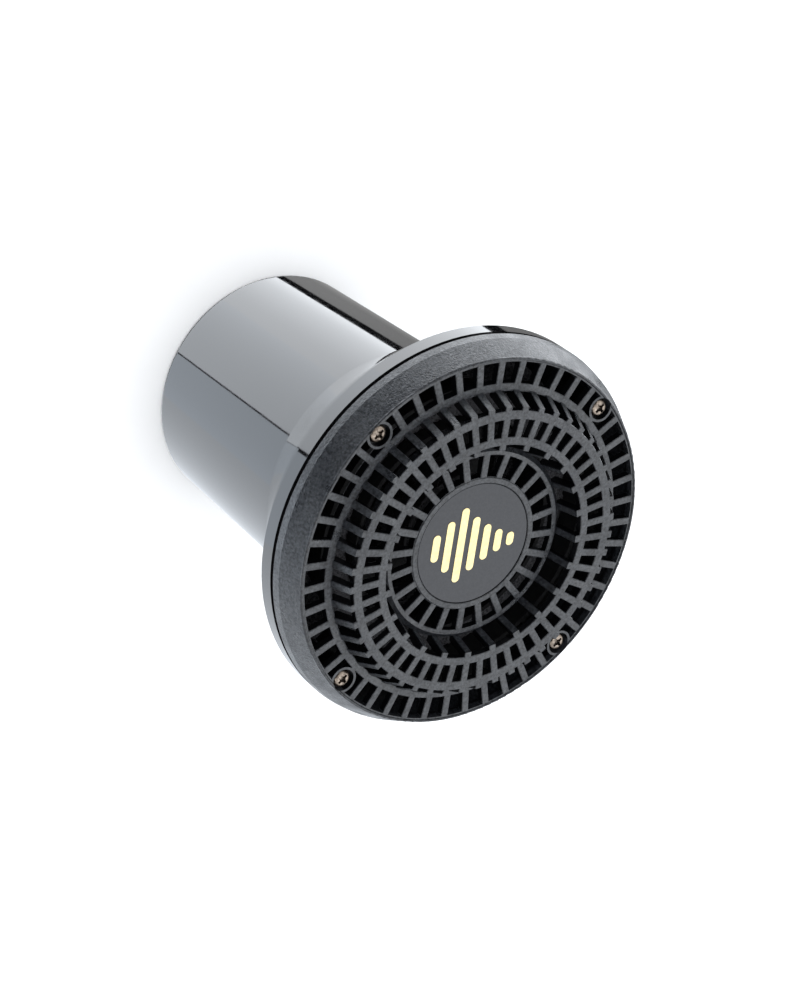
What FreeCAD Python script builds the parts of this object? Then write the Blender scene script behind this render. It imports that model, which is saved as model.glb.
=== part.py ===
import FreeCAD, Part
import math
import os
from FreeCAD import Vector

# Push-on intake silencer for a hair dryer. Millimetres, +Z along the air axis.
# The tube's mouth slips over the dryer's rear air intake. The grille is at the top.
# Origin: centre of the mouth plane. Ribs lie on multiples of 7.5 degrees from +X.

# Driving dimensions of the rear housing. BITE is how far a joined feature runs into its neighbour.
MOUTH_R = 40.4
TUBE_ROOT_R = 42.8
TUBE_ROOT_Z = 77.7
COLLAR_FOOT_R = 44.6
COLLAR_EDGE = (59.8, 102.1)
RIM_R = 65.0
SHOULDER_Z = 109.4
HOUSING_TOP_Z = 114.6
WALL = 2.4
MOUTH_ROUND = 1.6
MOUTH_WALL = 3.0
FOOT_FILLET = 1.8
LEDGE_R = 30.5
LEDGE_Z = (26.0, 28.4)
BITE = 0.6

# Front grille
GRILLE_BASE_Z = 116.1
BEZEL_EDGE = (64.5, 118.6)
BEZEL_CREST = (61.3, 125.5)
LIP_R = 59.85
LOW_Z = 125.7
MID_Z = 132.5
BAR = 2.4
PLATE = 2.8
EDGE = 0.2
BEAD_RISE = 0.4
RISER_T = 2.0
FLANK = 1.5
INNER_RISER_SLOPE = 4.0
HUB_RISE = 0.2
RING_A = (50.2, 52.85)
RING_B = (43.9, 46.8)
RING_C = (35.6, 38.2)
RING_D = (29.4, 32.3)
HUB_R = 22.3
STUB_OUT_R = 48.0
STUB_IN_R = 34.0
RIB_COUNT = 48
RIB_STEP = 360.0 / RIB_COUNT
SKIRT_R = (60.9, 62.3)
SKIRT_BOTTOM_Z = 111.0

# Badge
BADGE_R = 20.1
BADGE_GAP = 0.1
BADGE_CHAMFER = 0.2
BADGE_FLOOR_Z = 124.5
ADHESIVE_T = 0.3
BADGE_TOP_Z = 125.6
EMBLEM_T = 0.15
EMBLEM_BAR = 2.7
EMBLEM_PITCH = 4.6
EMBLEM_HEIGHTS = (9.0, 17.0, 25.0, 18.0, 12.0, 7.5, 4.5)

# Screws, their cups in the grille and bosses in the housing
SCREW_PITCH_R = 57.3
SCREW_START = 45.0
SCREW_HEAD_R = 3.0
SCREW_HEAD_H = 2.2
SCREW_SEAT_Z = 123.0
SCREW_TIP_Z = 103.6
SCREW_POINT = 2.4
RECESS = (3.5, 0.9)
RECESS_DEPTH = 1.2
SHANK_R = 1.4
PILOT_R = 1.45
CLEAR_R = 1.7
CUP_R = 4.4
CUP_REACH_R = 61.0
POCKET_R = 3.6
BOSS_R = 3.4
BOSS_Z = (99.0, 110.0)
EAR_TOP_Z = 112.4

# Inner parts
COUPLING_R = 35.0
COUPLING_Z = (1.0, 24.0)
COUPLING_LEAD = 1.5
SEAT_GAP = 0.05
DUCT_R = (31.0, 32.2)
DUCT_TOP_Z = 74.5
DUCT_FLANGE_R = 39.6
DUCT_FLANGE_T = 1.2
DUCT_LEAD = 1.0
DUCT_HOLE_R = 2.6
DUCT_ROWS = 5
DUCT_ROW_PITCH = 8.0
DUCT_FIRST_ROW = 6.5
DUCT_HOLES = 20
COLLAR_FOAM_T = 3.6
BAFFLE_FOAM_TOP_Z = 110.5
HUB_FOAM_T = 5.6
HUB_FOAM_INSET = 2.3
TROUGH_TOP_R = 48.6
TROUGH_FOOT_R = 43.5
TROUGH_Z = (98.0, 116.0)
TROUGH_INNER_R = (34.0, 35.4)
TROUGH_INNER_TOP_Z = 114.5
TROUGH_WALL = 1.4
ARM_W = 5.0
WEB = (1.6, 5.0)
GASKET_R = (62.6, 63.6)
GAP = 0.3


def profile_face(points):
    """Closed face in the XZ plane. A (mid, end) pair in the list is an arc."""
    edges = []
    here = points[0]
    for step in points[1:] + [points[0]]:
        if isinstance(step[0], tuple):
            mid, end = step
            arc = Part.Arc(Vector(here[0], 0, here[1]), Vector(mid[0], 0, mid[1]), Vector(end[0], 0, end[1]))
            edges.append(arc.toShape())
            here = end
        else:
            edges.append(Part.makeLine(Vector(here[0], 0, here[1]), Vector(step[0], 0, step[1])))
            here = step
    return Part.Face(Part.Wire(edges))


def revolved(points):
    """Body of revolution about Z from a closed (radius, height) outline."""
    return profile_face(points).revolve(Vector(0, 0, 0), Vector(0, 0, 1), 360)


def turned(shape, degrees):
    """Copy of shape turned about Z."""
    copy = shape.copy()
    copy.rotate(Vector(0, 0, 0), Vector(0, 0, 1), degrees)
    return copy


def around(shape, angles):
    """Copies of shape turned about Z, one at each angle."""
    return [turned(shape, angle) for angle in angles]


def corner(a, b, c, wall):
    """Where the lines a-b and b-c meet after both move sideways by wall, to the axis side."""
    def shifted(p, q):
        length = math.hypot(q[0] - p[0], q[1] - p[1])
        off = (-(q[1] - p[1]) / length * wall, (q[0] - p[0]) / length * wall)
        return (p[0] + off[0], p[1] + off[1]), ((q[0] - p[0]) / length, (q[1] - p[1]) / length)
    p, u = shifted(a, b)
    q, v = shifted(b, c)
    cross = u[0] * v[1] - u[1] * v[0]
    t = ((q[0] - p[0]) * v[1] - (q[1] - p[1]) * v[0]) / cross
    return (p[0] + u[0] * t, p[1] + u[1] * t)


def tube_inner_r(z):
    """Inside radius of the tapered tube at height z."""
    return MOUTH_R - MOUTH_WALL + (TUBE_ROOT_R - WALL - MOUTH_R + MOUTH_WALL) * z / TUBE_ROOT_Z


def screw_angles():
    return [SCREW_START + 90.0 * k for k in range(4)]


def screw_post(radius, low, high, reach=SCREW_PITCH_R):
    """Upright cylinder at a screw's place on the +X axis."""
    return Part.makeCylinder(radius, high - low, Vector(reach, 0, low))


def housing_inner_line():
    """Inner wall of the collar from the tube to the rim, as (radius, height) points."""
    foot = (COLLAR_FOOT_R, TUBE_ROOT_Z)
    shoulder = (RIM_R, SHOULDER_Z)
    edge_in = corner(foot, COLLAR_EDGE, shoulder, WALL)
    slope_in = corner(COLLAR_EDGE, shoulder, (RIM_R, HOUSING_TOP_Z), WALL)
    run = COLLAR_EDGE[1] - foot[1]
    lean = (COLLAR_EDGE[0] - foot[0]) / run
    taper = (tube_inner_r(TUBE_ROOT_Z) - tube_inner_r(0)) / TUBE_ROOT_Z
    root_z = (edge_in[0] - lean * edge_in[1] - tube_inner_r(0)) / (taper - lean)
    return [(tube_inner_r(0), 0.0), (tube_inner_r(root_z), root_z), edge_in, slope_in]


def rear_housing():
    """Glossy shell: tapered tube, conical collar, rim, inner ledge and four screw bosses."""
    c45 = math.cos(math.radians(45))
    fillet_z = TUBE_ROOT_Z - FOOT_FILLET
    fillet_r = COLLAR_FOOT_R - FOOT_FILLET
    outer = [
        (0.0, 0.0),
        (MOUTH_R - MOUTH_ROUND, 0.0),
        ((MOUTH_R - MOUTH_ROUND * (1 - c45), MOUTH_ROUND * (1 - c45)), (MOUTH_R, MOUTH_ROUND)),
        (fillet_r, fillet_z),
        ((COLLAR_FOOT_R - FOOT_FILLET * c45, fillet_z + FOOT_FILLET * c45), (COLLAR_FOOT_R, TUBE_ROOT_Z)),
        COLLAR_EDGE,
        (RIM_R, SHOULDER_Z),
        (RIM_R, HOUSING_TOP_Z),
        (0.0, HOUSING_TOP_Z),
    ]
    inner_line = housing_inner_line()
    rim_in_r = inner_line[-1][0]
    void = [(0.0, -1.0), (tube_inner_r(0), -1.0)] + inner_line
    void += [(rim_in_r, HOUSING_TOP_Z + 1.0), (0.0, HOUSING_TOP_Z + 1.0)]
    body = revolved(outer)
    bosses = Part.makeCompound(around(screw_post(BOSS_R, *BOSS_Z), screw_angles())).common(body)
    ledge_r = tube_inner_r(LEDGE_Z[1]) + BITE
    ledge = revolved([
        (LEDGE_R, LEDGE_Z[0]), (ledge_r, LEDGE_Z[0]), (ledge_r, LEDGE_Z[1]), (LEDGE_R, LEDGE_Z[1]),
    ])
    shell = body.cut(revolved(void)).fuse([ledge] + bosses.Solids)
    pilots = around(screw_post(PILOT_R, SCREW_TIP_Z - BITE, BOSS_Z[1] + 1), screw_angles())
    return shell.cut(pilots).removeSplitter()


def bezel():
    """Outer band of the grille, with the bead at its inner edge and the skirt that enters the housing."""
    crest_r, crest_z = BEZEL_CREST
    bead_top = LOW_Z + BEAD_RISE
    return revolved([
        (RIM_R, GRILLE_BASE_Z),
        BEZEL_EDGE,
        BEZEL_CREST,
        ((crest_r - 0.15, crest_z + BEAD_RISE), (crest_r - 0.55, bead_top)),
        (LIP_R + 0.7, bead_top),
        (LIP_R + 0.4, LOW_Z),
        (LIP_R, LOW_Z),
        (LIP_R, LOW_Z - BAR),
        (SKIRT_R[0], LOW_Z - 2 * BAR),
        (SKIRT_R[0], SKIRT_BOTTOM_Z),
        (SKIRT_R[1], SKIRT_BOTTOM_Z),
        (SKIRT_R[1], GRILLE_BASE_Z),
    ])


def flat_ring(radii, top, depth):
    """Grille ring with small chamfers along both top edges."""
    inner, outer = radii
    return revolved([
        (inner, top - depth), (outer, top - depth), (outer, top - EDGE),
        (outer - EDGE, top), (inner + EDGE, top), (inner, top - EDGE),
    ])


def ring_d():
    """Innermost step of the grille: a narrow flat and a wide sloping flank."""
    inner, outer = RING_D
    return revolved([
        (inner, LOW_Z - BAR), (outer, LOW_Z - BAR), (outer, LOW_Z - FLANK),
        (outer - FLANK, LOW_Z), (inner + EDGE, LOW_Z), (inner, LOW_Z - EDGE),
    ])


def hub():
    """Closed disc in the middle of the grille, recessed for the badge."""
    top = LOW_Z + HUB_RISE
    recess_r = BADGE_R + BADGE_GAP
    return revolved([
        (0.0, LOW_Z - PLATE), (HUB_R, LOW_Z - PLATE), (HUB_R, top - 2 * EDGE),
        (HUB_R - 2 * EDGE, top), (recess_r + EDGE, top), (recess_r, top - EDGE),
        (recess_r, BADGE_FLOOR_Z), (0.0, BADGE_FLOOR_Z),
    ])


def rib(long):
    """One radial bar that steps up to the middle level. A long one steps down again to the hub."""
    low = LOW_Z - BAR
    mid = MID_Z - BAR
    top_line = [(LIP_R + BITE, LOW_Z), (RING_A[0] + BITE, LOW_Z), (STUB_OUT_R, MID_Z)]
    under = [(STUB_OUT_R - RISER_T, mid), (RING_A[0] - RISER_T, low), (LIP_R + BITE, low)]
    inner_line = []
    if long:
        foot_z = LOW_Z - FLANK - EDGE
        foot_r = STUB_IN_R - (MID_Z - foot_z) / INNER_RISER_SLOPE
        top_line += [(STUB_IN_R, MID_Z), (foot_r, foot_z)]
        inner_line = [(RING_D[0] + BITE, LOW_Z), (HUB_R - BITE, LOW_Z)]
        seat = [(RING_D[0] + BITE, foot_z)] + inner_line + [(HUB_R - BITE, low)]
        under = seat + [(RING_D[1] + RISER_T, low), (STUB_IN_R + RISER_T, mid)] + under
    else:
        top_line += [(RING_C[0] + BITE, MID_Z)]
        under = [(RING_C[0] + BITE, mid)] + under
    side = profile_face(top_line + under)
    bar = side.extrude(Vector(0, BAR, 0))
    bar.translate(Vector(0, -BAR / 2, 0))
    crown = top_line + inner_line

    def on_crown(vertex):
        p = vertex.Point
        return any(abs(p.x - r) < 1e-6 and abs(p.z - z) < 1e-6 for r, z in crown)

    long_edges = [e for e in bar.Edges if e.Length > 1.0 and all(on_crown(v) for v in e.Vertexes)]
    sharp = [e for e in long_edges if abs(e.Vertexes[0].Point.y - e.Vertexes[1].Point.y) < 1e-6]
    return bar.makeChamfer(EDGE, sharp)


def screw_cup():
    """Post for one screw at +X, ending inside the bezel bead and to be hollowed by screw_cut."""
    post = screw_post(CUP_R, EAR_TOP_Z, LOW_Z)
    return post.common(Part.makeCylinder(CUP_REACH_R, MID_Z))


def screw_cut():
    """Round pocket and clearance hole of one screw at +X."""
    pocket = screw_post(POCKET_R, SCREW_SEAT_Z, MID_Z)
    hole = screw_post(CLEAR_R, EAR_TOP_Z - 1, SCREW_SEAT_Z + 1)
    return pocket.fuse(hole)


def front_grille():
    """Stepped intake grille with 48 outer bars, 24 of which reach the hub."""
    long_rib, short_rib = rib(True), rib(False)
    bars = [turned(long_rib if k % 2 == 0 else short_rib, k * RIB_STEP) for k in range(RIB_COUNT)]
    rings = [
        flat_ring(RING_A, LOW_Z, PLATE),
        flat_ring(RING_B, MID_Z, BAR),
        flat_ring(RING_C, MID_Z, BAR),
        ring_d(),
        hub(),
    ]
    body = bezel().fuse(rings + bars + around(screw_cup(), screw_angles()))
    return body.cut(around(screw_cut(), screw_angles()))


def badge_adhesive():
    """Thin double-sided sheet under the badge."""
    return Part.makeCylinder(BADGE_R - 3 * BADGE_CHAMFER, ADHESIVE_T, Vector(0, 0, BADGE_FLOOR_Z))


def badge_disc():
    """Flat badge with a small edge chamfer."""
    low = BADGE_FLOOR_Z + ADHESIVE_T
    return revolved([
        (0.0, low), (BADGE_R, low), (BADGE_R, BADGE_TOP_Z - BADGE_CHAMFER),
        (BADGE_R - BADGE_CHAMFER, BADGE_TOP_Z), (0.0, BADGE_TOP_Z),
    ])


def badge_emblem():
    """Seven upright bars with round ends, as a fading sound level."""
    first = -EMBLEM_PITCH * (len(EMBLEM_HEIGHTS) - 1) / 2
    half = EMBLEM_BAR / 2
    bars = []
    for k, height in enumerate(EMBLEM_HEIGHTS):
        x = first + k * EMBLEM_PITCH
        y = height / 2 - half
        z = BADGE_TOP_Z
        outline = Part.Wire([
            Part.makeLine(Vector(x - half, -y, z), Vector(x - half, y, z)),
            Part.Arc(Vector(x - half, y, z), Vector(x, y + half, z), Vector(x + half, y, z)).toShape(),
            Part.makeLine(Vector(x + half, y, z), Vector(x + half, -y, z)),
            Part.Arc(Vector(x + half, -y, z), Vector(x, -y - half, z), Vector(x - half, -y, z)).toShape(),
        ])
        bars.append(Part.Face(outline).extrude(Vector(0, 0, EMBLEM_T)))
    return Part.makeCompound(bars)


def grille_screw():
    """Self-tapping pan-head screw on the +X axis, with a cross recess."""
    top = SCREW_SEAT_Z + SCREW_HEAD_H
    side_top = SCREW_SEAT_Z + 0.43 * SCREW_HEAD_H
    dome = SCREW_HEAD_R * 0.72
    body = revolved([
        (0.0, SCREW_TIP_Z), (SHANK_R, SCREW_TIP_Z + SCREW_POINT), (SHANK_R, SCREW_SEAT_Z),
        (SCREW_HEAD_R, SCREW_SEAT_Z), (SCREW_HEAD_R, side_top),
        ((dome + 0.35, top - 0.35), (dome - 0.4, top)), (0.0, top),
    ])
    floor_z = top - RECESS_DEPTH
    tall = RECESS_DEPTH + 0.2
    across, wide = RECESS
    recess = [
        Part.makeBox(length, width, tall, Vector(-length / 2, -width / 2, floor_z))
        for length, width in ((across, wide), (wide, across))
    ]
    recess.append(Part.makeCone(wide / 2, across * 0.32, tall, Vector(0, 0, floor_z)))
    screw = body.cut(recess)
    screw.translate(Vector(SCREW_PITCH_R, 0, 0))
    return screw


def seam_gasket():
    """Flat rubber ring between housing and grille, set back from the outside."""
    return revolved([
        (GASKET_R[0], HOUSING_TOP_Z), (GASKET_R[1], HOUSING_TOP_Z),
        (GASKET_R[1], GRILLE_BASE_Z), (GASKET_R[0], GRILLE_BASE_Z),
    ])


def coupling_ring():
    """Soft ring in the mouth that grips the dryer's tail, with a lead-in at its lower edge."""
    low, high = COUPLING_Z
    return revolved([
        (COUPLING_R + COUPLING_LEAD, low), (tube_inner_r(low) - SEAT_GAP, low),
        (tube_inner_r(high) - SEAT_GAP, high), (COUPLING_R, high), (COUPLING_R, low + COUPLING_LEAD),
    ])


def inner_duct():
    """Perforated tube that keeps the lining out of the air stream, with a flange at its upper end."""
    low, top = LEDGE_Z[1], DUCT_TOP_Z
    under = top - DUCT_FLANGE_T
    body = revolved([
        (DUCT_R[0], low), (DUCT_R[1], low), (DUCT_R[1], under), (DUCT_FLANGE_R, under),
        (DUCT_FLANGE_R, top), (DUCT_R[0] + DUCT_LEAD, top), (DUCT_R[0], top - DUCT_LEAD),
    ])
    step = 360.0 / DUCT_HOLES
    drills = []
    for row in range(DUCT_ROWS):
        z = low + DUCT_FIRST_ROW + row * DUCT_ROW_PITCH
        start = Vector(-DUCT_FLANGE_R, 0, z)
        drill = Part.makeCylinder(DUCT_HOLE_R, 2 * DUCT_FLANGE_R, start, Vector(1, 0, 0))
        drills += around(drill, [(k + (row % 2) / 2) * step for k in range(DUCT_HOLES // 2)])
    return body.cut(drills)


def liner_foam():
    """Foam sleeve between the perforated duct and the tube."""
    low, high = LEDGE_Z[1] + GAP, DUCT_TOP_Z - DUCT_FLANGE_T - GAP
    return revolved([
        (DUCT_R[1] + GAP, low), (tube_inner_r(low) - GAP, low),
        (tube_inner_r(high) - GAP, high), (DUCT_R[1] + GAP, high),
    ])


def collar_foam():
    """Conical foam sheet on the inside of the collar, below the bosses."""
    root, edge = housing_inner_line()[1:3]
    lean = (edge[0] - root[0]) / (edge[1] - root[1])
    low, high = root[1] + COLLAR_FOAM_T, BOSS_Z[0] - GAP

    def wall_r(z):
        return root[0] + lean * (z - root[1]) - GAP
    return revolved([
        (wall_r(low) - COLLAR_FOAM_T, low), (wall_r(low), low),
        (wall_r(high), high), (wall_r(high) - COLLAR_FOAM_T, high),
    ])


def baffle_carrier():
    """Ring trough under the middle level of the grille, held by four arms at the screws."""
    low, high = TROUGH_Z
    lean = (TROUGH_TOP_R - TROUGH_FOOT_R) / (high - low)
    inner, inner_out = TROUGH_INNER_R
    trough = revolved([
        (inner, low), (TROUGH_FOOT_R, low), (TROUGH_TOP_R, high), (TROUGH_TOP_R - TROUGH_WALL, high),
        (TROUGH_FOOT_R - TROUGH_WALL + lean * TROUGH_WALL, low + TROUGH_WALL),
        (inner_out, low + TROUGH_WALL), (inner_out, TROUGH_INNER_TOP_Z), (inner, TROUGH_INNER_TOP_Z),
    ])
    plate_z = BOSS_Z[1]
    root = TROUGH_FOOT_R + lean * (plate_z - low) - BITE
    arm = Part.makeBox(SCREW_PITCH_R - root, ARM_W, EAR_TOP_Z - plate_z, Vector(root, -ARM_W / 2, plate_z))
    web_w, web_h = WEB
    web_root = TROUGH_FOOT_R + lean * (plate_z - web_h - low) - BITE
    web_out = SCREW_PITCH_R - BOSS_R - GAP
    web = Part.makeBox(web_out - web_root, web_w, web_h + BITE, Vector(web_root, -web_w / 2, plate_z - web_h))
    ear = screw_post(BOSS_R, plate_z, EAR_TOP_Z)
    hole = screw_post(CLEAR_R, plate_z - 1, EAR_TOP_Z + 1)
    arms = around(arm.fuse([web, ear]), screw_angles())
    return trough.fuse(arms).cut(around(hole, screw_angles())).removeSplitter()


def baffle_foam():
    """Foam ring that fills the lower part of the trough."""
    low, high = TROUGH_Z[0] + TROUGH_WALL + GAP, BAFFLE_FOAM_TOP_Z
    lean = (TROUGH_TOP_R - TROUGH_FOOT_R) / (TROUGH_Z[1] - TROUGH_Z[0])

    def wall_r(z):
        return TROUGH_FOOT_R + lean * (z - TROUGH_Z[0]) - TROUGH_WALL - 2 * GAP
    inner = TROUGH_INNER_R[1] + GAP
    return revolved([(inner, low), (wall_r(low), low), (wall_r(high), high), (inner, high)])


def hub_foam():
    """Round foam pad glued behind the closed hub."""
    return Part.makeCylinder(HUB_R - HUB_FOAM_INSET, HUB_FOAM_T, Vector(0, 0, LOW_Z - PLATE - HUB_FOAM_T))


def main():
    os.makedirs("parts", exist_ok=True)
    nodes = {
        "rear_housing": rear_housing(),
        "coupling_ring": coupling_ring(),
        "inner_duct": inner_duct(),
        "liner_foam": liner_foam(),
        "collar_foam": collar_foam(),
        "baffle_carrier": baffle_carrier(),
        "baffle_foam": baffle_foam(),
        "hub_foam": hub_foam(),
        "seam_gasket": seam_gasket(),
        "front_grille": front_grille(),
        "badge_adhesive": badge_adhesive(),
        "badge_disc": badge_disc(),
        "badge_emblem": badge_emblem(),
    }
    screw = grille_screw()
    for k, angle in enumerate(screw_angles()):
        nodes["grille_screw_%d" % (k + 1)] = turned(screw, angle)
    for name, shape in nodes.items():
        shape.exportStep("parts/%s.step" % name)
        print(name, "solids", len(shape.Solids), "volume", round(shape.Volume), "valid", shape.isValid())


main()
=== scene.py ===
import math

import bmesh
import bpy
from mathutils import Matrix, Vector, noise


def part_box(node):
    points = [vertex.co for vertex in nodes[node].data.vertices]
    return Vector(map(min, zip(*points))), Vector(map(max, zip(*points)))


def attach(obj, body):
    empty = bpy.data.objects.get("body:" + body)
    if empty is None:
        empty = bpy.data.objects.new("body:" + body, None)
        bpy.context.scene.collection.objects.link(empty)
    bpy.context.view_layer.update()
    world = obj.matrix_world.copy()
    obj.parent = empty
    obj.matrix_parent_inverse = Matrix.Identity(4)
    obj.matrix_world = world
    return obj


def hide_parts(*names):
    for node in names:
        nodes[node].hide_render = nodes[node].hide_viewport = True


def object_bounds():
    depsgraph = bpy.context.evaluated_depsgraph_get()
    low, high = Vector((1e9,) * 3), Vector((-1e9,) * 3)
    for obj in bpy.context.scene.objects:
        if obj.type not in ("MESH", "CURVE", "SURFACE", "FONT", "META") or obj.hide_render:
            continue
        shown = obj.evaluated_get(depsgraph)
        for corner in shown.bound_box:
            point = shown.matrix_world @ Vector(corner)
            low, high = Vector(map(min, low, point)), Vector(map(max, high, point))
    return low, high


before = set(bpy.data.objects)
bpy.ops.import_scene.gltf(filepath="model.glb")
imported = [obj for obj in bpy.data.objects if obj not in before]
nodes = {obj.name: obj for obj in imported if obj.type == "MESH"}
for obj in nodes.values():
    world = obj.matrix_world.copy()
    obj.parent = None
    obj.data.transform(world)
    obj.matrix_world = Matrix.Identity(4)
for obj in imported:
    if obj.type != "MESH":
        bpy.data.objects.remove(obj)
cad_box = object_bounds()

MM = 0.001
CLEAR = 0.25 * MM

# Camera: where it stands, the way it looks and its picture's up, in the row frame
CAMERA_AT = Vector((-0.4994, 0.3646, 0.7647))
CAMERA_BACK = Vector((-0.5428, 0.3992, 0.7389))
CAMERA_UP = Vector((0.1113, 0.9062, -0.4079))
LENS_MM = 105.6

# Light: the room above the floor, one soft key, and sheets that only gloss sees. Angles are in degrees.
ROOM = 1.9
ROOM_DARK, ROOM_RISE = (0.006, 0.006, 0.007), (0.05, 0.5)
KEY_AZ, KEY_EL, KEY_FAR, KEY_SIZE, KEY_POWER = -36.0, 50.0, 1.5, 1.3, 2.9
KEY_COOL, ROOM_COOL = 1.4, 0.4
SHEET_FAR = 2.0
SHEET_FOOT = -70.0

# (name, azimuths along the upper edge, azimuths along the foot, upper elevations, strengths, fade, how cool).
# Each pair goes from one end of the sheet to the other, and the strengths are evenly spaced along it.
# Fade says how much weaker the upper edge is. The sheets are fitted to one view: their edges and the gaps
# between them make the lines and dark bands that the gloss shows there.
SHEETS = (
    ("sheet_top", (-28, 100), (55, 100), (6, -4), (5.4, 5.2, 5.5, 5.6, 5.9), 0.0, 0.8),
    ("sheet_left", (100, 138.4), (100, 183.1), (-8, -28), (5.9, 4.8), 0.0, 1.1),
    ("sheet_low_left", (141.8, 215), (183.5, 215), (-28, 4), (3.9, 3.2), 0.0, 1.8),
    ("sheet_low", (215, 316), (215, 316), (4, -20), (3.05, 1.1), 0.0, 1.2),
    ("sheet_right", (-44, -9), (-44, 49.5), (-25, -25), (1.8, 0.80, 0.92, 1.55), 1.2, 0.1),
)
# The room behind the camera is dark: azimuths and elevations of the card that gloss sees there
CARD_AZ, CARD_EL = (92, 200), (3, 76)
CARD_STEPS = 12
SHEET_STEPS, SHEET_ROWS = 24, 12

# Stage
FLOOR_HALF = 8.0
BACKDROP_R, BACKDROP_H, BACKDROP_TURNS = 7.5, 6.0, 48
SHADE_BEYOND, SHADE_BELOW, SHADE_TURNS = 1.0 * MM, 0.2 * MM, 64

# Foam
CELL_SIZE = 1.2 * MM
FOAM_STEP = 0.9 * MM
PIT_DEPTH = 0.45 * MM
SWELL_SIZE, SWELL_DEPTH = 4.0 * MM, 0.12 * MM


def cool(amount):
    """White light made cooler: 0 is neutral, 2 a clear blue cast."""
    return (1.0 - 0.1 * amount, 1.0 - 0.055 * amount, 1.0)


def direction(azimuth, elevation):
    a, e = math.radians(azimuth), math.radians(elevation)
    return Vector((math.cos(a) * math.cos(e), math.sin(a) * math.cos(e), math.sin(e)))


def circle(radius, z, turns):
    """Evenly spaced points round the axis."""
    angles = [2 * math.pi * k / turns for k in range(turns)]
    return [(radius * math.cos(a), radius * math.sin(a), z) for a in angles]


def link(obj):
    bpy.context.scene.collection.objects.link(obj)
    return obj


# ---------------------------------------------------------------- stage, camera and light

def make_camera():
    data = bpy.data.cameras.new("camera")
    data.lens = LENS_MM
    data.sensor_width = 36.0
    data.clip_start, data.clip_end = 0.05, 50.0
    back = CAMERA_BACK.normalized()
    right = CAMERA_UP.cross(back).normalized()
    up = back.cross(right)
    camera = link(bpy.data.objects.new("camera", data))
    turn = Matrix((right, up, back)).transposed().to_4x4()
    camera.matrix_world = Matrix.Translation(CAMERA_AT) @ turn
    bpy.context.scene.camera = camera


def make_floor():
    """Wide pale floor. Gloss looks through it, to the sheets of light around the object."""
    mesh = bpy.data.meshes.new("floor")
    corners = [(x * FLOOR_HALF, y * FLOOR_HALF, 0) for x, y in ((-1, -1), (1, -1), (1, 1), (-1, 1))]
    mesh.from_pydata(corners, [], [(0, 1, 2, 3)])
    floor = link(bpy.data.objects.new("floor", mesh))
    material, shader = new_material("floor_paper")
    shader.inputs["Roughness"].default_value = 0.9
    tone = ramp(material, noise_of(material, 30.0, 3.0), grey(0.90, 0.93))
    join(material, tone, shader.inputs["Base Color"])
    mesh.materials.append(material)
    floor.visible_glossy = False


def make_mouth_shade():
    """Dark disc just under the tube's mouth. The floor is open to gloss, and this closes it there."""
    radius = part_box("coupling_ring")[1].x + SHADE_BEYOND
    points = circle(radius, -SHADE_BELOW, SHADE_TURNS)
    mesh = bpy.data.meshes.new("mouth_shade")
    mesh.from_pydata(points, [], [tuple(range(SHADE_TURNS))])
    material, shader = new_material("shade_paper")
    shader.inputs["Roughness"].default_value = 0.95
    tone = ramp(material, noise_of(material, 200.0), grey(0.03, 0.05))
    join(material, tone, shader.inputs["Base Color"])
    mesh.materials.append(material)
    shade = link(bpy.data.objects.new("mouth_shade", mesh))
    shade.visible_camera = False


def glowing(name, strength, tint=(1.0, 1.0, 1.0)):
    """Material that only gives off light, by a plain number or by a mesh attribute's name."""
    material = bpy.data.materials.new(name)
    material.use_nodes = True
    tree = material.node_tree
    tree.nodes.clear()
    emission = tree.nodes.new("ShaderNodeEmission")
    out = tree.nodes.new("ShaderNodeOutputMaterial")
    tree.links.new(emission.outputs[0], out.inputs["Surface"])
    emission.inputs["Color"].default_value = (*tint, 1.0)
    if isinstance(strength, str):
        read = tree.nodes.new("ShaderNodeAttribute")
        read.attribute_name = strength
        tree.links.new(read.outputs["Fac"], emission.inputs["Strength"])
    else:
        emission.inputs["Strength"].default_value = strength
    material.cycles.emission_sampling = "NONE"
    return material


def make_backdrop():
    """Plain white wall far round the floor, seen by the camera only, so low views have no dark horizon."""
    turns = BACKDROP_TURNS
    points = circle(BACKDROP_R, 0.0, turns) + circle(BACKDROP_R, BACKDROP_H, turns)
    faces = [(k, (k + 1) % turns, turns + (k + 1) % turns, turns + k) for k in range(turns)]
    mesh = bpy.data.meshes.new("backdrop")
    mesh.from_pydata(points, [], faces)
    mesh.materials.append(glowing("backdrop_white", 1.0))
    backdrop = link(bpy.data.objects.new("backdrop", mesh))
    backdrop.visible_glossy = False
    backdrop.visible_diffuse = False
    backdrop.visible_shadow = False


def make_room():
    """Even white light from above, which falls off towards the horizon."""
    world = bpy.data.worlds.new("room")
    bpy.context.scene.world = world
    world.use_nodes = True
    tree = world.node_tree
    tree.nodes.clear()
    where = tree.nodes.new("ShaderNodeTexCoord")
    split = tree.nodes.new("ShaderNodeSeparateXYZ")
    rise = tree.nodes.new("ShaderNodeValToRGB")
    background = tree.nodes.new("ShaderNodeBackground")
    out = tree.nodes.new("ShaderNodeOutputWorld")
    tree.links.new(where.outputs["Generated"], split.inputs[0])
    tree.links.new(split.outputs["Z"], rise.inputs[0])
    stops = rise.color_ramp.elements
    stops[0].position, stops[0].color = ROOM_RISE[0], (*ROOM_DARK, 1)
    stops[1].position, stops[1].color = ROOM_RISE[1], (*cool(ROOM_COOL), 1)
    tree.links.new(rise.outputs[0], background.inputs["Color"])
    background.inputs["Strength"].default_value = ROOM
    tree.links.new(background.outputs[0], out.inputs["Surface"])


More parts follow.
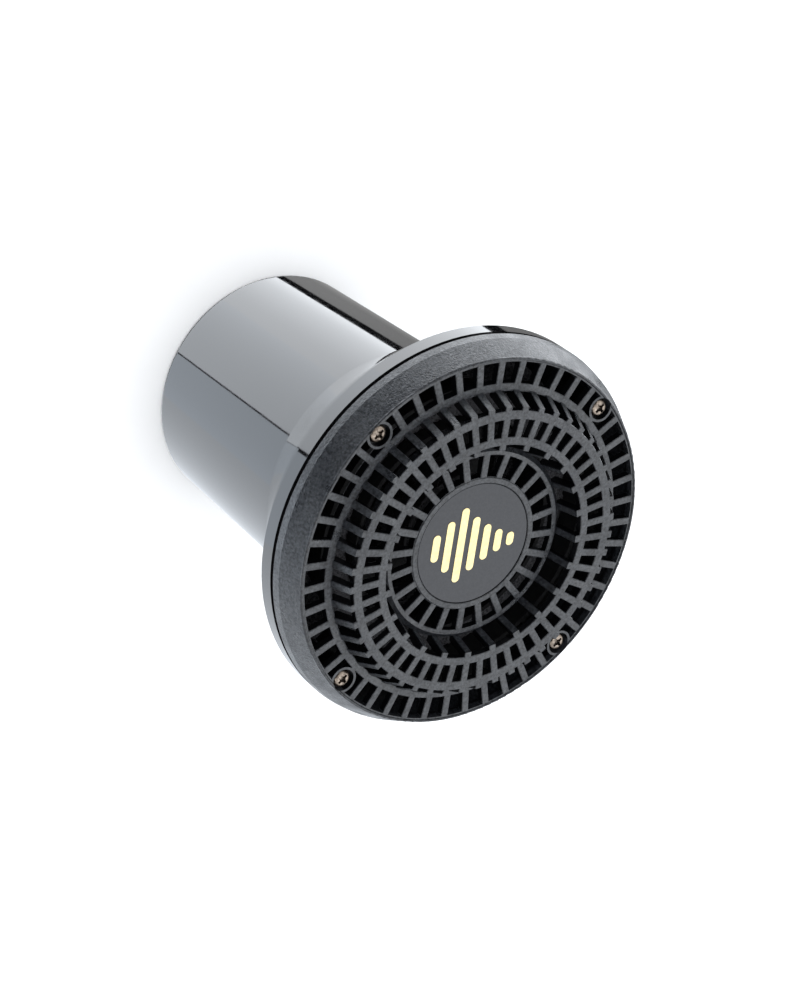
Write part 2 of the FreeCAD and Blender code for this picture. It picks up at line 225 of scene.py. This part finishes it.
def make_key():
    data = bpy.data.lights.new("key", "AREA")
    data.shape = "DISK"
    data.size = KEY_SIZE
    data.energy = KEY_POWER
    data.color = cool(KEY_COOL)
    key = link(bpy.data.objects.new("key", data))
    centre = (cad_box[0] + cad_box[1]) / 2
    way = direction(KEY_AZ, KEY_EL)
    key.location = centre + way * KEY_FAR
    key.rotation_mode = "QUATERNION"
    key.rotation_quaternion = way.to_track_quat("Z", "Y")
    key.visible_camera = False


def between(pair, t):
    return pair[0] + (pair[1] - pair[0]) * t


def along(values, t):
    """Value at t from 0 to 1 on a line through evenly spaced values."""
    k = min(int(t * (len(values) - 1)), len(values) - 2)
    return between(values[k:k + 2], t * (len(values) - 1) - k)


def hang(name, points, rows, material):
    """Curved grid of points, column by column, as an object that only gloss sees."""
    columns = len(points) // (rows + 1)
    faces = []
    for k in range(1, columns):
        for row in range(1, rows + 1):
            here = k * (rows + 1) + row
            faces.append((here - rows - 2, here - 1, here, here - rows - 1))
    mesh = bpy.data.meshes.new(name)
    mesh.from_pydata(points, [], faces)
    mesh.materials.append(material)
    piece = link(bpy.data.objects.new(name, mesh))
    piece.visible_camera = False
    piece.visible_diffuse = False
    piece.visible_shadow = False
    return mesh


def make_sheet(name, upper_azimuths, foot_azimuths, upper_elevations, strengths, fade, coolness):
    """Curved sheet of light around the object, seen by gloss only. Its ends may lean."""
    centre = (cad_box[0] + cad_box[1]) / 2
    points, glow = [], []
    for k in range(SHEET_STEPS + 1):
        t = k / SHEET_STEPS
        for row in range(SHEET_ROWS + 1):
            rise = row / SHEET_ROWS
            azimuth = between((between(foot_azimuths, t), between(upper_azimuths, t)), rise)
            elevation = between((SHEET_FOOT, between(upper_elevations, t)), rise)
            points.append(centre + direction(azimuth, elevation) * SHEET_FAR)
            glow.append(along(strengths, t) * max(0.0, 1.0 - fade * rise))
    mesh = hang(name, points, SHEET_ROWS, glowing(name, "glow", cool(coolness)))
    level = mesh.attributes.new("glow", "FLOAT", "POINT")
    level.data.foreach_set("value", glow)


def make_card():
    """Black curved card behind the camera, seen by gloss only."""
    centre = (cad_box[0] + cad_box[1]) / 2
    points = []
    for k in range(CARD_STEPS + 1):
        for row in range(CARD_STEPS + 1):
            azimuth, elevation = between(CARD_AZ, k / CARD_STEPS), between(CARD_EL, row / CARD_STEPS)
            points.append(centre + direction(azimuth, elevation) * SHEET_FAR)
    hang("card", points, CARD_STEPS, glowing("card_black", 0.0))


# ---------------------------------------------------------------- material helpers

def new_material(name):
    material = bpy.data.materials.new(name)
    material.use_nodes = True
    return material, material.node_tree.nodes["Principled BSDF"]


def join(material, output, socket):
    material.node_tree.links.new(output, socket)


def place(material, stretch=(1.0, 1.0, 1.0)):
    """Object coordinates, stretched along the axes."""
    tree = material.node_tree
    where = tree.nodes.new("ShaderNodeTexCoord")
    mapping = tree.nodes.new("ShaderNodeMapping")
    mapping.inputs["Scale"].default_value = stretch
    tree.links.new(where.outputs["Object"], mapping.inputs["Vector"])
    return mapping.outputs[0]


def noise_of(material, scale, detail=4.0):
    node = material.node_tree.nodes.new("ShaderNodeTexNoise")
    node.inputs["Scale"].default_value = scale
    node.inputs["Detail"].default_value = detail
    join(material, place(material), node.inputs["Vector"])
    return node.outputs["Fac"]


def cells_of(material, scale):
    node = material.node_tree.nodes.new("ShaderNodeTexVoronoi")
    node.inputs["Scale"].default_value = scale
    join(material, place(material), node.inputs["Vector"])
    return node.outputs["Distance"]


def ramp(material, factor, stops):
    node = material.node_tree.nodes.new("ShaderNodeValToRGB")
    elements = node.color_ramp.elements
    while len(elements) < len(stops):
        elements.new(0.5)
    for element, (position, colour) in zip(elements, stops):
        element.position = position
        element.color = (*colour, 1.0)
    join(material, factor, node.inputs[0])
    return node.outputs[0]


def mix(material, low, high, factor):
    """low where factor is 0 and high where it is 1; each is a number or an output."""
    node = material.node_tree.nodes.new("ShaderNodeMix")
    join(material, factor, node.inputs[0])
    for socket, value in ((node.inputs[2], low), (node.inputs[3], high)):
        if isinstance(value, float):
            socket.default_value = value
        else:
            join(material, value, socket)
    return node.outputs[0]


def step(material, value, start, end):
    """0 where value is below start, 1 above end."""
    node = material.node_tree.nodes.new("ShaderNodeMapRange")
    node.inputs["From Min"].default_value = start
    node.inputs["From Max"].default_value = end
    join(material, value, node.inputs["Value"])
    return node.outputs[0]


def normal_along(material, radial):
    """Surface normal along the radius, times the radius in metres, or along +Z, from -1 to 1."""
    tree = material.node_tree
    where = tree.nodes.new("ShaderNodeTexCoord")
    dot = tree.nodes.new("ShaderNodeVectorMath")
    dot.operation = "DOT_PRODUCT"
    tree.links.new(where.outputs["Normal"], dot.inputs[0])
    if radial:
        tree.links.new(place(material, (1.0, 1.0, 0.0)), dot.inputs[1])
    else:
        dot.inputs[1].default_value = (0.0, 0.0, 1.0)
    return dot.outputs["Value"]


def radius_of(material):
    node = material.node_tree.nodes.new("ShaderNodeVectorMath")
    node.operation = "LENGTH"
    join(material, place(material, (1.0, 1.0, 0.0)), node.inputs[0])
    return node.outputs["Value"]


def grey(low, high):
    """Two ramp stops that turn a noise into a value from low to high."""
    return ((0.3, (low,) * 3), (0.7, (high,) * 3))


def bump(material, shader, height, distance):
    """Surface relief of the given depth. Returns the node, whose Strength may be masked."""
    node = material.node_tree.nodes.new("ShaderNodeBump")
    node.inputs["Strength"].default_value = 1.0
    node.inputs["Distance"].default_value = distance
    join(material, height, node.inputs["Height"])
    join(material, node.outputs[0], shader.inputs["Normal"])
    return node


def surface(name, dark, light, tone_scale, rough, rough_scale, grain_scale, grain_depth, metallic=0.0):
    """Material with mottled tone, uneven gloss and fine grain."""
    material, shader = new_material(name)
    shader.inputs["Metallic"].default_value = metallic
    tone = ramp(material, noise_of(material, tone_scale), ((0.3, dark), (0.7, light)))
    join(material, tone, shader.inputs["Base Color"])
    gloss = ramp(material, noise_of(material, rough_scale), grey(*rough))
    join(material, gloss, shader.inputs["Roughness"])
    bump(material, shader, noise_of(material, grain_scale, 3.0), grain_depth)
    return material, shader


# ---------------------------------------------------------------- materials

def gloss_shell():
    """Piano-black moulding with a few fine scuffs outside, and as it left the mould inside."""
    material, shader = new_material("gloss_black_shell")
    shader.inputs["IOR"].default_value = 1.5
    outside = step(material, normal_along(material, True), -1.0 * MM, 1.0 * MM)
    blacks = ((0.3, (0.0015, 0.0015, 0.0017)), (0.7, (0.003, 0.003, 0.0033)))
    tone = ramp(material, noise_of(material, 40), blacks)
    join(material, tone, shader.inputs["Base Color"])
    polish = ramp(material, noise_of(material, 220), grey(0.035, 0.07))
    join(material, mix(material, 0.5, polish, outside), shader.inputs["Roughness"])
    bump(material, shader, noise_of(material, 160, 3.0), 0.004 * MM)
    return material


def satin_grille():
    """Spark-eroded on the band and on all that faces forward, polished down the sides of the slots. The sides
    of the slots also keep the darkest colour, a painted shade down the slots.
    """
    material, shader = new_material("satin_black_grille")
    shader.inputs["IOR"].default_value = 1.5
    front = step(material, normal_along(material, False), 0.1, 0.25)
    band = step(material, radius_of(material), 59.0 * MM, 59.4 * MM)
    satin = mix(material, front, 1.0, band)
    # Only the satin faces get the lighter speckle. Off them the colour stays at the darkest stop, which is
    # painted shade down the sides of the slots, over their real polished finish.
    speckle_and_slot_shade = mix(material, 0.0, noise_of(material, 1100, 3.0), satin)
    tone = ramp(material, speckle_and_slot_shade, ((0.0, (0.0015, 0.0016, 0.002)), (0.35, (0.003, 0.0036, 0.005)),
                                    (0.65, (0.024, 0.0265, 0.031))))
    join(material, tone, shader.inputs["Base Color"])
    glint = ramp(material, noise_of(material, 1300, 2.0), grey(0.38, 0.62))
    join(material, glint, shader.inputs["Specular IOR Level"])
    worn = ramp(material, noise_of(material, 140, 8.0), grey(0.25, 0.5))
    join(material, mix(material, 0.2, worn, satin), shader.inputs["Roughness"])
    grain = bump(material, shader, noise_of(material, 1700, 3.0), 0.14 * MM)
    join(material, satin, grain.inputs["Strength"])
    return material


def matte_inner():
    """Dull black moulding, for the baffle carrier."""
    material, shader = surface("matte_black_inner", (0.003, 0.003, 0.0035), (0.007, 0.007, 0.0075), 300,
                               (0.6, 0.78), 400, 1500, 0.03 * MM)
    shader.inputs["Specular IOR Level"].default_value = 0.2
    return material


def moulded_plastic():
    return surface("moulded_black_plastic", (0.022, 0.022, 0.024), (0.034, 0.034, 0.036), 500,
                   (0.38, 0.5), 300, 1800, 0.03 * MM)[0]


def rubber():
    return surface("soft_black_rubber", (0.010, 0.010, 0.011), (0.018, 0.018, 0.019), 300,
                   (0.6, 0.78), 400, 1500, 0.03 * MM)[0]


def badge_face():
    """Anodised graphite disc with a fine even grain."""
    material, shader = surface("badge_graphite", (0.022, 0.023, 0.026), (0.030, 0.031, 0.035), 1500,
                               (0.30, 0.38), 900, 3800, 0.006 * MM)
    shader.inputs["Specular IOR Level"].default_value = 0.3
    return material


def gold_foil():
    return surface("badge_gold", (0.62, 0.50, 0.25), (0.70, 0.58, 0.31), 800,
                   (0.32, 0.44), 900, 2500, 0.008 * MM, metallic=0.85)[0]


def adhesive():
    return surface("adhesive_sheet", (0.62, 0.62, 0.60), (0.74, 0.74, 0.72), 400,
                   (0.5, 0.65), 500, 900, 0.02 * MM)[0]


def screw_steel():
    """Bronzed steel with turned marks and some wear."""
    return surface("bronzed_steel", (0.06, 0.049, 0.041), (0.30, 0.25, 0.205), 900,
                   (0.22, 0.40), 700, 1400, 0.03 * MM, metallic=1.0)[0]


def foam_material():
    """Charcoal open-cell foam: pale cell walls round pits, with the colour darkening towards each cell's
    centre as painted shade in the pits.
    """
    material, shader = new_material("charcoal_foam")
    cell = cells_of(material, 1100)
    # The colour darkens towards each cell's centre: painted shade in the pits, over the charcoal tone.
    tone = ramp(material, cell, ((0.05, (0.006, 0.006, 0.007)), (0.55, (0.055, 0.055, 0.06))))
    join(material, tone, shader.inputs["Base Color"])
    gloss = ramp(material, noise_of(material, 500), grey(0.85, 0.97))
    join(material, gloss, shader.inputs["Roughness"])
    bump(material, shader, cell, 0.3 * MM)
    return material


FINISH = {
    "rear_housing": gloss_shell, "front_grille": satin_grille, "baffle_carrier": matte_inner,
    "inner_duct": moulded_plastic, "coupling_ring": rubber, "seam_gasket": rubber,
    "badge_disc": badge_face, "badge_emblem": gold_foil, "badge_adhesive": adhesive,
}


def dress_cad():
    """Puts each finish on the CAD nodes that stay in view."""
    made = {}
    for name, obj in nodes.items():
        if name.endswith("_foam"):
            continue
        finish = screw_steel if name.startswith("grille_screw") else FINISH[name]
        if finish not in made:
            made[finish] = finish()
        obj.data.materials.clear()
        obj.data.materials.append(made[finish])


# ---------------------------------------------------------------- foam pieces

def node_outline(name):
    """(radius in, radius out, height) of a foam node's lower and upper ends."""
    low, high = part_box(name)
    points = [v.co for v in nodes[name].data.vertices]
    ends = []
    for z in (low.z, high.z):
        radii = [math.hypot(p.x, p.y) for p in points if abs(p.z - z) < 0.02 * MM]
        ends.append((min(radii), max(radii), z))
    return ends


def pitted(point, depth):
    """How far the surface sinks at point, in open cells and over a slower swell."""
    near = noise.voronoi(point / CELL_SIZE, distance_metric="DISTANCE", exponent=2.5)[0]
    wall = min(1.0, near[1] - near[0])
    return depth * (1.0 - (1.0 - wall) ** 3) + SWELL_DEPTH * (0.5 + 0.5 * noise.noise(point / SWELL_SIZE))


def foam_ring(name, material):
    """Ring, sleeve or disc of open-cell foam that stands for the CAD node of the same name."""
    (in0, out0, z0), (in1, out1, z1) = node_outline(name)
    solid = min(in0, in1) < 1e-6
    inner0, inner1 = (0.0, 0.0) if solid else (in0 + CLEAR, in1 + CLEAR)
    corners = [(inner0, z0 + CLEAR), (out0 - CLEAR, z0 + CLEAR)]
    corners += [(out1 - CLEAR, z1 - CLEAR), (inner1, z1 - CLEAR)]
    loop = []
    for k, start in enumerate(corners):
        end = corners[(k + 1) % 4]
        if solid and k == 3:
            loop.append(start)
            continue
        steps = max(1, round(math.hypot(end[0] - start[0], end[1] - start[1]) / FOAM_STEP))
        loop += [(start[0] + (end[0] - start[0]) * t / steps, start[1] + (end[1] - start[1]) * t / steps)
                 for t in range(steps)]
    around = max(48, round(2 * math.pi * max(out0, out1) / FOAM_STEP))
    bm = bmesh.new()
    rings = []
    for r, z in loop:
        if r < 1e-6:
            rings.append([bm.verts.new((0.0, 0.0, z))])
        else:
            rings.append([bm.verts.new(p) for p in circle(r, z, around)])
    pairs = list(zip(rings, rings[1:])) + ([] if solid else [(rings[-1], rings[0])])
    for a, b in pairs:
        for k in range(around):
            n = (k + 1) % around
            quad = [a[k % len(a)], b[k % len(b)], b[n % len(b)], a[n % len(a)]]
            unique = list(dict.fromkeys(quad))
            if len(unique) > 2:
                bm.faces.new(unique)
    bmesh.ops.recalc_face_normals(bm, faces=bm.faces)
    bm.normal_update()
    moves = [(v, v.normal.copy(), pitted(v.co, PIT_DEPTH)) for v in bm.verts]
    for v, normal, sink in moves:
        v.co -= normal * sink
    mesh = bpy.data.meshes.new(name + "_open_cell")
    bm.to_mesh(mesh)
    bm.free()
    for face in mesh.polygons:
        face.use_smooth = True
    mesh.materials.append(material)
    piece = link(bpy.data.objects.new(name + "_open_cell", mesh))
    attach(piece, "root")
    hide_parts(name)


# ---------------------------------------------------------------- put it together

make_camera()
make_floor()
make_mouth_shade()
make_backdrop()
make_room()
make_key()
for sheet in SHEETS:
    make_sheet(*sheet)
make_card()
dress_cad()
foam = foam_material()
for foam_node in ("liner_foam", "collar_foam", "baffle_foam", "hub_foam"):
    foam_ring(foam_node, foam)
bpy.context.scene.view_settings.view_transform = "Standard"
